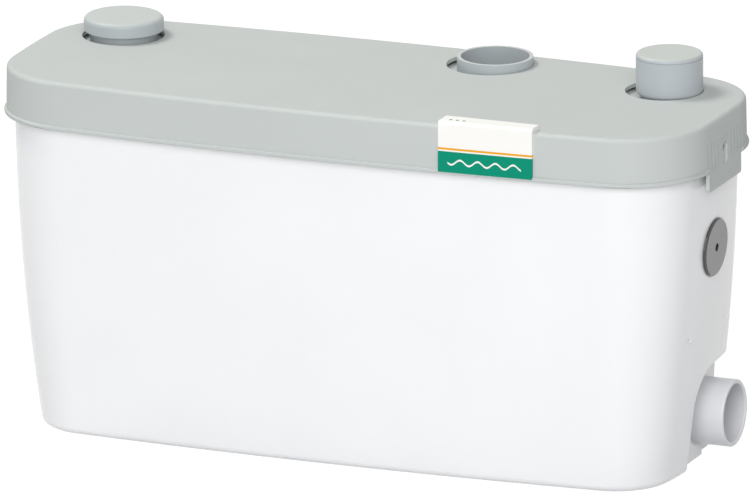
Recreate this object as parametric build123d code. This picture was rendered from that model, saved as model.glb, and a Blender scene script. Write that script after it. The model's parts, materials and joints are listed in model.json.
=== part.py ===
from build123d import *
import math
import os

# Lifting unit for household waste water. Millimetres, +Z up, origin at the middle of the
# tank's base, +X towards the side inlet, -Y towards the front.

# Tank: plan size at the base and at the rim, and how its walls run between them
tank_corner_base = 35.0
tank_half_x_rim = 216.9
tank_half_y_rim = 77.8
tank_taper_x = 15.9
tank_taper_y = 7.3
tank_corner_rim = 44.0
tank_side_bow = 5.5
tank_end_bow = 2.0
tank_bulge = 2.8
tank_wall = 3.0
tank_rim_z = 202.0
tank_foot_round = 4.5

# Recess in the right end, round the side inlet
recess_depth = 27.0
recess_before_inlet = 40.0
recess_above_inlet = 33.6
recess_corner = 25.0
lug_depth = 3.5
lug_height = 14.0
lug_before_inlet = 41.0
lug_behind_inlet = 3.2

# Side inlet pipe stub
side_inlet_from_rear = 49.8
side_inlet_z = 28.4
pipe_radius = 20.0
pipe_bore = 17.35
side_inlet_length = 26.0
side_inlet_lip_round = 1.0
side_inlet_reach = 13.5
side_seat_radius = 19.5
side_collar_radius = 21.5
side_collar_proud = 3.7
side_flange_radius = 27.0
side_flange = 3.5
side_seal = 1.5
side_screw_pitch_radius = 24.3
side_screw_count = 4
side_screw_start_deg = 45.0
floor_play = 0.3

# Inner cover, its gasket and screws
gasket = 1.5
cover = 2.5
cover_inset = 0.3
boss_radius = 7.0
boss_top_radius = 5.0
boss_depth = 20.0
boss_sink = 1.0
cover_screw_from_left_port = 65.0
cover_screw_from_motor = 20.0
cover_screw_end_y = -10.0
screw_radius = 2.0
screw_head_radius = 4.0
screw_head = 2.4
cover_screw_length = 14.0

# Ports on the inner cover
left_port_from_end = 40.4
left_port_from_rear = 40.4
middle_port_from_motor = 73.4
middle_port_from_rear = 22.0
right_port_from_end = 45.9
right_port_from_rear = 39.6
pad_radius = 30.0
pad_wall = 2.5
pad_drop = 4.2
socket_bore = 20.3
socket_wall = 2.3
socket_step = 3.3
left_socket_depth = 24.0
middle_socket_proud = 5.0
middle_passage = 16.0
middle_passage_shift = 2.3
stub_radius = 16.0
stub_bore = 13.0
stub_proud = 20.0
stub_below = 13.5
stub_flange_radius = 24.0
stub_flange = 2.5

# Lid
lid_overhang_x = 3.8
lid_overhang_y = 4.4
lid_corner_more = 6.0
lid_side_bow_more = 0.5
lid_end_bow = 0.4
lid_height = 29.3
lid_wall = 2.4
lid_draft = 0.5
lid_round = 2.5
bead_proud = 1.2
bead_height = 2.8
bead_round = 0.9
left_hole = 24.5
left_hole_shift = 0.3
middle_hole = 25.9
middle_hole_shift = 3.0
right_hole = 23.2
right_hole_shift = 3.1
hole_shift_deg = 201.2
lid_rise = 16.2
lid_post_radius = 3.5
lid_post_bore = 1.6
post_from_left_port = 55.0
post_from_right_port = 51.3
post_from_front = 37.2
post_from_rear = 42.2
post_middle_y = 15.0

# Tab on the lid's right end, with its vent slots and keyhole
tab = 2.2
tab_half_width = 25.2
tab_drop = 11.9
tab_round = 1.5
slot_count = 11
slot_pitch = 5.1
slot_width = 1.2
slot_middle_y = 0.2
slot_rise = 0.3
slot_drop = 12.2
short_slot_length = 3.4
short_slots = 3
key_rise = 9.3
key_top_radius = 3.9
key_length = 6.0
key_low_radius = 3.4
key_depth = 1.3
key_opening_height = 5.4
key_opening_width = 4.6
catch_width = 13.0
catch_height = 13.0
catch = 1.2

# Badge plate folded over the front edge of the lid
badge_width = 58.2
badge_from_end = 88.9
badge_back = 12.4
badge_rise = 1.5
badge = 1.7
badge_top = 2.7
badge_fold = 2.2

# Mushroom plug of the left port
plug_disc_radius = 23.8
plug_disc_rise = 3.4
plug_disc = 8.7
plug_disc_round = 3.0
plug_disc_foot_round = 0.8
plug_shank_play = 0.3
plug_wall = 3.0
ring_section = 1.1
ring_groove = 2.2

# Tall cap of the right port
cap_radius = 19.8
cap_play = 0.3
cap_rise = 23.2
cap_sink = 1.4
cap_round = 2.0
cap_groove = 0.4
cap_groove_drop = 2.3
cap_foot_round = 2.0

# Expanding plug in the right end wall
side_plug_drop = 65.0
side_plug_disc_radius = 17.7
side_plug_disc = 1.6
side_plug_bevel = 1.0
side_plug_hole = 16.0
side_plug_rubber = 15.7
side_plug_rubber_length = 9.0
side_plug_back = 2.5
side_plug_back_radius = 14.5
side_plug_screw_radius = 3.0
side_plug_head_radius = 5.5
side_plug_socket = 2.7
side_plug_socket_depth = 2.6

# Non-return flaps: disc, knuckle and pin
flap = 2.5
flap_play = 0.3
flap_pin_radius = 1.5
flap_pin_play = 0.06
flap_arm_half = 3.0
flap_ear = 2.6
inlet_knuckle = 3.0
valve_knuckle = 2.4
side_flap_radius = 18.8
top_flap_radius = 17.0
valve_flap_radius = 12.3

# Housing of the top inlet's flap
top_housing_radius = 18.4
top_housing_bore = 14.5
top_housing_length = 21.0
top_seal = 1.5
top_ear_x = 23.5
top_ear_radius = 4.5
top_ear = 4.0
top_flap_ear_rise = 7.0
small_screw_radius = 1.5
small_head_radius = 3.0
small_head = 2.0

# Non-return valve of the pressure outlet
valve_length = 38.0
valve_radius = 21.5
valve_wall = 2.5
valve_seat_radius = 12.5
valve_seat_rise = 4.0
valve_neck_radius = 19.0
valve_neck = 9.0

# Pressure hose and its clips
hose_radius = 16.0
hose_bore = 13.0
tail_bore = 10.5
tail_length = 13.0
hose_low_bend = 25.0
hose_high_bend = 40.0
hose_riser_from_port = 33.3
hose_slant_rise = 36.0
hose_slant_drop = 31.5
clip = 1.4
clip_width = 8.0
clip_set_back = 2.0

# Motor and pump, on one upright axis
motor_from_tray = 49.0
motor_from_rear = 66.5
motor_radius = 42.0
motor_wall = 2.5
motor_shield = 5.5
stator_radius = 39.0
stator_bore = 21.0
stator_rise = 28.0
stator_drop = 30.0
stator_slots = 12
stator_slot_radius = 3.2
stator_slot_pitch_radius = 27.0
winding_radius = 34.0
winding_bore = 22.5
winding_height = 13.0
rotor_radius = 20.4
shaft_radius = 6.0
shaft_rise = 3.5
shaft_play = 0.05
bearing_radius = 14.0
bearing_length = 8.0
bearing_boss = 17.5
bearing_sink = 3.0
seal_housing_height = 34.0
seal_housing_radius = 40.0
seal_cavity_radius = 31.0
seal_floor = 5.0
seal_radius = 11.0
seal_length = 12.0
volute_low_z = 28.0
volute_height = 30.0
volute_radius = 40.0
volute_wall = 3.0
eye_radius = 14.0
nozzle_shift = 27.0
nozzle_rise = 15.0
nozzle_radius = 14.5
nozzle_length = 53.0
lug_radius = 5.0
lug_pitch_radius = 44.5
lug_height_pump = 6.0
lug_start_deg = 97.0
lug_count = 4
pump_screw_length = 12.0
motor_screw_pitch_radius = 32.0
motor_screw_length = 6.5
motor_screw_count = 4
motor_screw_start_deg = 45.0
impeller_radius = 30.0
impeller_rise = 9.0
impeller_height = 16.0
impeller_plate = 3.0
impeller_hub = 9.0
impeller_vanes = 6
impeller_vane = 2.4
nut_across = 17.0
strainer_radius = 30.0
strainer_wall = 2.5
strainer_flange = 35.0
strainer_slots = 12
strainer_slot = 5.0
strainer_slot_height = 15.0

# Level sensing: air bell, tube and pressure switch in the control tray
tray_from_port = 26.5
tray_length = 81.0
tray_from_front = 21.8
tray_from_rear = 27.8
tray_depth = 38.5
tray_wall = 2.5
tray_round = 6.0
bell_from_tray_end = 38.0
bell_from_tray_front = 36.0
bell_radius = 20.0
bell_wall = 2.0
bell_low_z = 20.0
bell_drop = 45.0
bell_neck = 6.0
bell_neck_bore = 2.5
bell_collar = 12.0
nipple_radius = 4.0
nipple_length = 9.0
air_tube_radius = 5.5
air_tube_rise = 4.0
air_tube_gap = 0.5
switch_radius = 18.0
switch_rise = 17.0
switch_height = 10.5
switch_wall = 2.0
switch_nipple = 5.0
diaphragm = 1.0
diaphragm_inset = 0.4
plunger_foot_radius = 8.0
plunger_foot = 0.9
plunger_radius = 2.6
plunger_play = 0.08
plunger_proud = 2.5
plunger_travel = 1.5
microswitch_length = 20.0
microswitch_width = 8.0
microswitch_leg = 2.4
capacitor_radius = 12.5
capacitor_length = 58.0
capacitor_from_tray_rear = 26.0
capacitor_terminal = 1.5
capacitor_terminal_length = 4.5
terminal_from_tray_end = 11.5
terminal_from_tray_front = 22.0
terminal_width = 16.0
terminal_length = 34.0
terminal_height = 13.0
terminal_poles = 4

# Vent filter in its cup below the lid's vent slots
filter_from_end = 36.9
filter_from_front = 47.8
filter_radius = 15.2
filter_cup_play = 0.3
filter_cup_wall = 2.0
filter_drop = 20.2
filter_height = 11.0
filter_grid = 2.0
filter_hole = 1.6
filter_hole_pitch_radius = 9.0
filter_hole_count = 8
grid_inner_pitch_radius = 5.0
grid_inner_count = 6
grid_outer_pitch_radius = 11.0
grid_outer_count = 12

# Cable gland in the rear wall
gland_from_tray = 9.0
gland_drop = 30.0
gland_across = 21.0
gland_proud = 4.8
gland_thread = 8.0
gland_bore = 4.2
gland_nut_across = 24.0
gland_nut = 4.0
gland_play = 0.2

# Play of a piece that lies against a curved face, and how far cutters reach past a face
seat = 0.05
over = 1.0

# Levels that follow from the sizes above
cover_low_z = tank_rim_z + gasket
cover_high_z = cover_low_z + cover
lid_top_z = tank_rim_z + lid_rise
lid_low_z = lid_top_z - lid_height
lid_inner_z = lid_top_z - lid_wall
pad_top_z = lid_top_z - pad_drop
pad_inner_z = pad_top_z - pad_wall
slot_low_z = lid_low_z + slot_rise
slot_high_z = lid_top_z - slot_drop
short_slot_low_z = slot_high_z - short_slot_length
key_top_z = lid_low_z + key_rise
key_low_z = key_top_z - key_length
badge_low_z = lid_low_z + badge_rise
plug_disc_low_z = lid_top_z + plug_disc_rise
ring_height_z = cover_high_z
cap_top_z = lid_top_z + cap_rise
cap_low_z = lid_top_z - cap_sink
middle_socket_top_z = lid_top_z + middle_socket_proud
left_socket_low_z = pad_top_z - left_socket_depth
stub_low_z = cover_low_z - stub_below
stub_top_z = lid_top_z + stub_proud
top_housing_z = cover_low_z - top_seal
top_seat_z = top_housing_z - top_housing_length
side_plug_z = tank_rim_z - side_plug_drop
valve_top_z = stub_low_z
valve_low_z = valve_top_z - valve_length
valve_floor_z = valve_low_z + valve_wall
valve_seat_z = valve_floor_z + valve_seat_rise
hose_top_z = valve_low_z - over
hose_slant_high_z = valve_low_z - hose_slant_drop
hose_slant_low_z = hose_slant_high_z - hose_slant_rise
nozzle_z = volute_low_z + nozzle_rise
shaft_low_z = volute_low_z + shaft_rise
impeller_low_z = volute_low_z + impeller_rise
impeller_high_z = impeller_low_z + impeller_height
seal_housing_low_z = volute_low_z + volute_height
motor_low_z = seal_housing_low_z + seal_housing_height
motor_high_z = cover_low_z - motor_shield
stator_low_z = motor_low_z + stator_rise
stator_high_z = motor_high_z - stator_drop
tray_low_z = cover_low_z - tray_depth
bell_high_z = tray_low_z - bell_drop
air_tube_from_z = tray_low_z + air_tube_rise
switch_low_z = tray_low_z + switch_rise
switch_high_z = switch_low_z + switch_height
air_tube_to_z = switch_low_z - air_tube_gap
plunger_high_z = switch_high_z + plunger_proud
microswitch_high_z = cover_low_z - floor_play
filter_low_z = lid_top_z - filter_drop
gland_z = tank_rim_z - gland_drop

# Places that follow from the sizes above, from the left end to the right end
tank_half_x_base = tank_half_x_rim - tank_taper_x
tank_half_y_base = tank_half_y_rim - tank_taper_y
lid_half_x = tank_half_x_rim + lid_overhang_x
lid_half_y = tank_half_y_rim + lid_overhang_y
lid_corner = tank_corner_rim + lid_corner_more
lid_side_bow = tank_side_bow + lid_side_bow_more
left_port = (left_port_from_end - tank_half_x_rim, tank_half_y_rim - left_port_from_rear)
tray_x_from = left_port[0] + tray_from_port
tray_x_to = tray_x_from + tray_length
tray_y_from = tray_from_front - tank_half_y_rim
tray_y_to = tank_half_y_rim - tray_from_rear
bell_x = tray_x_from + bell_from_tray_end
bell_y = tray_y_from + bell_from_tray_front
capacitor_y = tray_y_to - capacitor_from_tray_rear
terminal_x = tray_x_to - terminal_from_tray_end
terminal_y = tray_y_from + terminal_from_tray_front
gland_x = tray_x_to + gland_from_tray
motor_x = tray_x_to + motor_from_tray
motor_y = tank_half_y_rim - motor_from_rear
motor_axis = (motor_x, motor_y)
nozzle_y = motor_y + nozzle_shift
middle_port = (motor_x + middle_port_from_motor, tank_half_y_rim - middle_port_from_rear)
middle_passage_at = (middle_port[0], middle_port[1] - middle_passage_shift)
right_port = (tank_half_x_rim - right_port_from_end, tank_half_y_rim - right_port_from_rear)
hose_riser_x = right_port[0] - hose_riser_from_port
filter_x = tank_half_x_rim - filter_from_end
filter_y = filter_from_front - tank_half_y_rim
badge_right = lid_half_x - badge_from_end
badge_left = badge_right - badge_width
tab_y = (slot_middle_y - tab_half_width, slot_middle_y + tab_half_width)
recess_x = tank_half_x_rim - recess_depth
recess_inner_x = recess_x - tank_wall
side_inlet_y = tank_half_y_rim - side_inlet_from_rear
side_inlet = (side_inlet_y, side_inlet_z)
side_inlet_end_x = recess_x + side_inlet_length
side_inlet_inner_x = recess_x - side_inlet_reach
side_collar_end_x = recess_x + side_collar_proud
side_seal_x = recess_inner_x - side_seal
side_flange_x = side_seal_x - side_flange
lug_y_from = side_inlet_y - lug_before_inlet
lug_y_to = side_inlet_y + lug_behind_inlet
socket_radius = socket_bore + socket_wall


def upright(radius, low, high, at=(0.0, 0.0)):
    """Solid cylinder with an upright axis."""
    return Pos(at[0], at[1], (low + high) / 2) * Cylinder(radius, high - low)


def tube(radius, bore, low, high, at=(0.0, 0.0)):
    """Upright tube."""
    return upright(radius, low, high, at) - upright(bore, low - over, high + over, at)


def block(x, y, z):
    """Box from three pairs of limits."""
    size = [limits[1] - limits[0] for limits in (x, y, z)]
    middle = [(limits[0] + limits[1]) / 2 for limits in (x, y, z)]
    return Pos(*middle) * Box(*size)


def polar(centre, radius, degrees):
    """Point on a circle round a centre."""
    angle = math.radians(degrees)
    return (centre[0] + radius * math.cos(angle), centre[1] + radius * math.sin(angle))


def fuse(shapes):
    """All shapes as one."""
    joined = shapes[0]
    for shape in shapes[1:]:
        joined = joined + shape
    return joined


def side(start, middle, end, bow):
    """Side of an outline: an arc, or a straight line if it has no bow."""
    if bow > 0:
        return ThreePointArc(start, middle, end)
    return Line(start, end)


def outline(plan, z):
    """Rounded rectangle with bowed sides. A plan is half x, half y, corner, side bow, end bow."""
    half_x, half_y, corner, side_bow, end_bow = plan
    ax = half_x - corner - end_bow
    ay = half_y - corner - side_bow
    side_turn = math.pi / 2 - 2 * math.atan2(side_bow, ax)
    end_turn = 2 * math.atan2(end_bow, ay)
    turns = (end_turn, (end_turn + side_turn) / 2, side_turn)
    low, mid, high = [(ax + corner * math.cos(t), ay + corner * math.sin(t)) for t in turns]

    def at(point, sx, sy):
        return Vector(sx * point[0], sy * point[1], z)

    edges = [
        side(at(high, -1, -1), Vector(0, -half_y, z), at(high, 1, -1), side_bow),
        ThreePointArc(at(high, 1, -1), at(mid, 1, -1), at(low, 1, -1)),
        side(at(low, 1, -1), Vector(half_x, 0, z), at(low, 1, 1), end_bow),
        ThreePointArc(at(low, 1, 1), at(mid, 1, 1), at(high, 1, 1)),
        side(at(high, 1, 1), Vector(0, half_y, z), at(high, -1, 1), side_bow),
        ThreePointArc(at(high, -1, 1), at(mid, -1, 1), at(low, -1, 1)),
        side(at(low, -1, 1), Vector(-half_x, 0, z), at(low, -1, -1), end_bow),
        ThreePointArc(at(low, -1, -1), at(mid, -1, -1), at(high, -1, -1)),
    ]
    return Wire(edges)


def grown(plan, by):
    """Plan with its outline moved outwards."""
    return (plan[0] + by, plan[1] + by, plan[2] + by, plan[3], plan[4])


def prism(plan, low, high):
    """Upright prism over a plan."""
    return Solid.extrude(Face(outline(plan, low)), Vector(0, 0, high - low))


def edge_y(plan, x):
    """How far back the long side of a plan reaches at x."""
    half_x, half_y, corner, side_bow, end_bow = plan
    ax = half_x - corner - end_bow
    radius = (ax * ax + side_bow * side_bow) / (2 * side_bow) + corner
    return half_y - radius + math.sqrt(radius * radius - x * x)


def tank_plan(z):
    """The tank's outer plan at a height, which follows a parabola through base, middle and rim."""
    t = z / tank_rim_z
    bulge = tank_bulge * 4 * t * (1 - t)
    half_x = tank_half_x_base + (tank_half_x_rim - tank_half_x_base) * t + bulge
    half_y = tank_half_y_base + (tank_half_y_rim - tank_half_y_base) * t + bulge
    corner = tank_corner_base + (tank_corner_rim - tank_corner_base) * t
    return (half_x, half_y, corner, tank_side_bow, tank_end_bow)


def tank_body(inset):
    """The tank's outer form, drawn in by an inset."""
    levels = (0.0, tank_rim_z / 2, tank_rim_z)
    return Solid.make_loft([outline(grown(tank_plan(z), -inset), z) for z in levels])


rim_plan = tank_plan(tank_rim_z)
cover_plan = grown(rim_plan, -cover_inset)
lid_plan = (lid_half_x, lid_half_y, lid_corner, lid_side_bow, lid_end_bow)


def recess(grow):
    """Arched space cut out of the right end, open to the rear and below."""
    radius = recess_corner + grow
    bend = radius * (1 - math.sqrt(0.5))
    front = side_inlet_y - recess_before_inlet - grow
    top = side_inlet_z + recess_above_inlet + grow
    far = 2 * tank_half_y_rim
    low = -far / 2
    start = recess_x - grow
    profile = Wire(
        [
            Line((start, front, low), (start, front, top - radius)),
            ThreePointArc(
                (start, front, top - radius),
                (start, front + bend, top - bend),
                (start, front + radius, top),
            ),
            Line((start, front + radius, top), (start, far, top)),
            Line((start, far, top), (start, far, low)),
            Line((start, far, low), (start, front, low)),
        ]
    )
    return Solid.extrude(Face(profile), Vector(tank_half_x_rim, 0, 0))


def cover_screw_points():
    """Places of the cover screws, just inside the tank's wall."""
    inset = tank_wall + boss_radius - boss_sink
    points = []
    left_x = left_port[0] + cover_screw_from_left_port
    right_x = (middle_port[0] + right_port[0]) / 2
    for x in (left_x, motor_x + cover_screw_from_motor, right_x):
        y = edge_y(rim_plan, x) - inset
        points += [(x, -y), (x, y)]
    end_x = tank_half_x_rim - inset
    return points + [(-end_x, cover_screw_end_y), (end_x, cover_screw_end_y)]


def side_screw_points():
    """Places of the side inlet's flange screws, as y and z."""
    step = 360 / side_screw_count
    start = side_screw_start_deg
    return [polar(side_inlet, side_screw_pitch_radius, start + step * n) for n in range(side_screw_count)]


def lying(radius, start, end, y, z):
    """Solid cylinder with its axis along X."""
    return Pos((start + end) / 2, y, z) * Rot(0, 90, 0) * Cylinder(radius, end - start)


def side_plug_plane():
    """Plane on the right end wall at the expanding plug, with its normal pointing out."""
    step = 1.0
    here = tank_plan(side_plug_z)[0]
    slope = (tank_plan(side_plug_z + step)[0] - here) / step
    return Plane(origin=(here, 0, side_plug_z), x_dir=(0, 1, 0), z_dir=(1, 0, -slope))


def gland_rear_y():
    """How far back the wall lies at the cable gland."""
    return edge_y(tank_plan(gland_z), abs(gland_x))


def across_y(radius, start, end, x, z):
    """Solid cylinder with its axis along Y."""
    return Pos(x, (start + end) / 2, z) * Rot(90, 0, 0) * Cylinder(radius, end - start)


def tank():
    """White shell with the recess, the screw bosses and its three wall holes."""
    outer = tank_body(0.0)
    foot = outer.edges().group_by(Axis.Z)[0]
    outer = fillet(foot, tank_foot_round)
    outer = outer - recess(0.0)
    lug = block((recess_x - over, recess_x + lug_depth), (lug_y_from, lug_y_to), (0.0, lug_height))
    outer = outer + lug
    cavity = tank_body(tank_wall) - recess(tank_wall)
    cavity = cavity & block(
        (-tank_half_x_rim, tank_half_x_rim),
        (-2 * tank_half_y_rim, 2 * tank_half_y_rim),
        (tank_wall, tank_rim_z),
    )
    shell = outer - cavity
    for point in cover_screw_points():
        shell = shell + upright(boss_radius, tank_rim_z - boss_depth, tank_rim_z, point)
        shell = shell + upright(boss_top_radius, tank_rim_z - over, cover_low_z, point)
        hole_low = cover_high_z - cover_screw_length
        shell = shell - upright(screw_radius, hole_low, cover_low_z + over, point)
    shell = shell - lying(side_collar_radius, recess_inner_x - over, recess_x + lug_depth + over, *side_inlet)
    for y, z in side_screw_points():
        shell = shell - lying(small_screw_radius, recess_inner_x - over, recess_x - over, y, z)
    shell = shell - side_plug_plane() * upright(side_plug_hole, -2 * tank_wall, 2 * tank_wall)
    wall_y = gland_rear_y()
    return shell - across_y(gland_thread, wall_y - 3 * tank_wall, wall_y + tank_wall, gland_x, gland_z)


def cover_gasket():
    """Flat ring on the tank's rim."""
    outer = grown(rim_plan, -cover_inset)
    inner = grown(rim_plan, -tank_wall + cover_inset)
    return prism(outer, tank_rim_z, cover_low_z) - prism(inner, tank_rim_z - over, cover_low_z + over)


def port_pad(port):
    """Raised hollow pad under a hole of the lid."""
    outer = upright(pad_radius, cover_low_z, pad_top_z, port)
    return outer - upright(pad_radius - pad_wall, cover_low_z - over, pad_inner_z, port)


def middle_socket():
    """Open socket that stands out of the lid."""
    return tube(socket_radius, socket_bore, cover_high_z, middle_socket_top_z, middle_port)


def pressure_stub():
    """Outlet stub, its flange held under the right pad."""
    stub = upright(stub_radius, stub_low_z, stub_top_z, right_port)
    stub = stub + upright(stub_flange_radius, pad_inner_z - stub_flange, pad_inner_z, right_port)
    return stub - upright(stub_bore, stub_low_z - over, stub_top_z + over, right_port)


def filter_cup():
    """Cup for the vent filter, open at the top."""
    at = (filter_x, filter_y)
    bore = filter_radius + filter_cup_play
    low = filter_low_z - filter_cup_wall
    cup = upright(bore + filter_cup_wall, low, pad_top_z - filter_grid / 2, at)
    cup = cup - upright(bore, filter_low_z, pad_top_z, at)
    for n in range(filter_hole_count):
        hole_at = polar(at, filter_hole_pitch_radius, 360 / filter_hole_count * n)
        cup = cup - upright(2 * filter_hole, low - over, filter_low_z + over, hole_at)
    return cup


def motor_screw_points():
    """Places of the screws that hold the motor under the cover."""
    step = 360 / motor_screw_count
    start = motor_screw_start_deg
    return [polar(motor_axis, motor_screw_pitch_radius, start + step * n) for n in range(motor_screw_count)]


def top_ear_points():
    """Places of the two screws of the top inlet's flap housing."""
    x, y = middle_passage_at
    return [(x - top_ear_x, y), (x + top_ear_x, y)]


def tank_cover():
    """Inner cover with its three pads, the left socket and the filter cup."""
    plate = prism(cover_plan, cover_low_z, cover_high_z)
    limit = prism(cover_plan, cover_low_z, pad_top_z)
    middle_pad = upright(pad_radius, cover_low_z, pad_top_z, middle_port) & limit
    bore = pad_radius - pad_wall
    for port in (left_port, right_port):
        plate = plate - upright(bore, cover_low_z - over, cover_high_z + over, port)
    filter_at = (filter_x, filter_y)
    plate = plate - upright(filter_radius, cover_low_z - over, cover_high_z + over, filter_at)
    left_socket = upright(socket_radius, left_socket_low_z, pad_top_z, left_port)
    body = fuse(
        [
            plate,
            middle_pad,
            port_pad(left_port),
            port_pad(right_port),
            left_socket,
            filter_cup(),
        ]
    )
    body = body - upright(socket_bore, left_socket_low_z + cover, pad_top_z + over, left_port)
    step_bore = socket_bore - socket_step
    body = body - upright(step_bore, left_socket_low_z - over, pad_top_z, left_port)
    body = body - upright(stub_radius, pad_inner_z - over, pad_top_z + over, right_port)
    body = body - upright(socket_radius, cover_high_z, pad_top_z + over, middle_port)
    body = body - upright(middle_passage, cover_low_z - over, cover_high_z + over, middle_passage_at)
    for point in cover_screw_points() + motor_screw_points():
        body = body - upright(screw_radius, cover_low_z - over, cover_high_z + over, point)
    for point in top_ear_points():
        body = body - upright(small_screw_radius, cover_low_z - over, cover_low_z + cover / 2, point)
    return body


def screw(radius, head_radius, head, length, at, top):
    """Upright screw, its head standing on the level top."""
    return upright(radius, top - length, top + over, at) + upright(head_radius, top, top + head, at)


def cover_screws():
    """Screws that hold the cover on the tank."""
    sizes = (screw_radius, screw_head_radius, screw_head, cover_screw_length)
    return [screw(*sizes, point, cover_high_z) for point in cover_screw_points()]


def lid_form(grow, low, high):
    """The lid's drafted form, grown outwards."""
    def plan(z):
        return grown(lid_plan, grow + lid_draft * (lid_top_z - z) / lid_height)

    return Solid.make_loft([outline(plan(low), low), outline(plan(high), high)], True)


def lid_outside():
    """Outside of the lid: skirt with its rounded top edge, and the bead along the bottom."""
    skirt = lid_form(0.0, lid_low_z, lid_top_z)
    skirt = fillet(skirt.edges().group_by(Axis.Z)[-1], lid_round)
    bead = prism(grown(lid_plan, lid_draft + bead_proud), lid_low_z, lid_low_z + bead_height)
    ends = bead.edges().group_by(Axis.Z)
    bead = fillet(ends[0] + ends[-1], bead_round)
    tab_space = block(
        (lid_half_x - lid_corner / 2, lid_half_x + lid_corner),
        tab_y,
        (0.0, cap_top_z),
    )
    return skirt + (bead - tab_space)


def vent_slot(y, low, high):
    """Cutter for one upright slot with round ends, through the lid's end."""
    reach = (lid_half_x - 2 * lid_wall, lid_half_x + 2 * lid_wall)
    radius = slot_width / 2
    cutter = block(reach, (y - radius, y + radius), (low + radius, high - radius))
    for z in (low + radius, high - radius):
        cutter = cutter + lying(radius, reach[0], reach[1], y, z)
    return cutter


def tab_face_x():
    """Outer face of the tab."""
    return lid_half_x + lid_draft


def lid_tab():
    """Tab that hangs down from the lid's right end and breaks the bead."""
    x = (tab_face_x() - tab, tab_face_x())
    plate = block(x, tab_y, (lid_low_z - tab_drop, lid_low_z + bead_height))
    corners = plate.edges().filter_by(Axis.X).group_by(Axis.Z)[0]
    return fillet(corners, tab_round)


def keyhole():
    """Cutter for the drop-shaped recess and its pointed opening."""
    face_x = tab_face_x()
    top = lying(key_top_radius, face_x - key_depth, face_x + over, slot_middle_y, key_top_z)
    low = lying(key_low_radius, face_x - key_depth, face_x + over, slot_middle_y, key_low_z)
    middle = block(
        (face_x - key_depth, face_x + over),
        (slot_middle_y - key_low_radius, slot_middle_y + key_low_radius),
        (key_low_z, key_top_z),
    )
    half_y = key_opening_width / 2
    half_z = key_opening_height / 2
    x = face_x - 3 * lid_wall
    corners = [
        (x, slot_middle_y - half_y, key_top_z),
        (x, slot_middle_y, key_top_z - half_z),
        (x, slot_middle_y + half_y, key_top_z),
        (x, slot_middle_y, key_top_z + half_z),
    ]
    opening = Solid.extrude(Face(Wire.make_polygon(corners)), Vector(4 * lid_wall, 0, 0))
    return top + low + middle + opening


def lid_hollow():
    """Space inside the lid."""
    below = lid_low_z - over
    return lid_form(-lid_wall, below, lid_inner_z)


def lid_post_points():
    """Places of the posts that keep the lid's top off the cover."""
    left_x = left_port[0] + post_from_left_port
    right_x = right_port[0] - post_from_right_port
    front_y = post_from_front - lid_half_y
    rear_y = lid_half_y - post_from_rear
    return [(left_x, front_y), (left_x, rear_y), (right_x, front_y), (right_x, post_middle_y)]


def port_hole(port, radius, shift):
    """Cutter for a hole of the lid, its middle off the port's axis, clear of the skirt."""
    cutter = upright(radius, pad_inner_z, lid_top_z + over, polar(port, shift, hole_shift_deg))
    return cutter & prism(grown(lid_plan, -lid_wall - cover_inset), pad_inner_z, lid_top_z + over)


def lid():
    """Grey lid with port holes, posts, tab, vent slots and keyhole."""
    shell = lid_outside() - lid_hollow()
    for point in lid_post_points():
        post = tube(lid_post_radius, lid_post_bore, cover_high_z, lid_inner_z + over, point)
        shell = shell + post
    shell = shell + lid_tab()
    shell = shell - port_hole(left_port, left_hole, left_hole_shift)
    shell = shell - port_hole(middle_port, middle_hole, middle_hole_shift)
    shell = shell - port_hole(right_port, right_hole, right_hole_shift)
    first_y = slot_middle_y - slot_pitch * (slot_count - 1) / 2
    for n in range(slot_count):
        short = abs(n - (slot_count - 1) / 2) <= (short_slots - 1) / 2
        low = short_slot_low_z if short else slot_low_z
        shell = shell - vent_slot(first_y + slot_pitch * n, low, slot_high_z)
    return shell - keyhole()


def lid_catch():
    """Dark spring plate behind the keyhole, against the inside of the lid's end."""
    high = key_top_z + catch_height / 2
    draft = lid_draft * (lid_top_z - high) / lid_height
    outer_x = lid_half_x + draft - lid_wall - 2 * seat
    half = catch_width / 2
    plate = block(
        (outer_x - catch, outer_x),
        (slot_middle_y - half, slot_middle_y + half),
        (high - catch_height, high),
    )
    return plate - keyhole_rivet()


def keyhole_rivet():
    """Small hole in the catch behind the keyhole's lower end."""
    x = lid_half_x - 3 * lid_wall
    return lying(small_screw_radius, x, lid_half_x, slot_middle_y, key_top_z - key_low_radius)


def badge_plate():
    """Thin plate that follows the lid's front skirt and folds over its top edge."""
    high = lid_top_z + badge_top
    outer = lid_form(badge, badge_low_z, high)
    outer = fillet(outer.edges().group_by(Axis.Z)[-1], badge_fold)
    outer = outer - lid_outside() - lid_hollow()
    front = -lid_half_y - 2 * badge
    return outer & block(
        (badge_left, badge_right),
        (front, -lid_half_y + badge_back),
        (badge_low_z, high),
    )


def inlet_plug():
    """Mushroom plug: rounded disc on a hollow shank that stands on the socket's step."""
    radius = socket_bore - plug_shank_play
    low = left_socket_low_z + cover
    disc = upright(plug_disc_radius, plug_disc_low_z, plug_disc_low_z + plug_disc, left_port)
    disc = fillet(disc.edges().group_by(Axis.Z)[-1], plug_disc_round)
    disc = fillet(disc.edges().group_by(Axis.Z)[0], plug_disc_foot_round)
    plug = disc + upright(radius, low, plug_disc_low_z + over, left_port)
    plug = plug - upright(radius - plug_wall, low - over, plug_disc_low_z, left_port)
    groove_low = ring_height_z - ring_groove / 2 - ring_section / 2
    groove_high = ring_height_z + ring_groove / 2 + ring_section / 2
    depth = socket_bore - 2 * ring_section - 2 * seat
    return plug - tube(radius + over, depth, groove_low, groove_high, left_port)


def inlet_plug_ring():
    """O-ring in the plug's groove."""
    middle = socket_bore - ring_section - seat
    return Pos(left_port[0], left_port[1], ring_height_z) * Torus(middle, ring_section)


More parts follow.
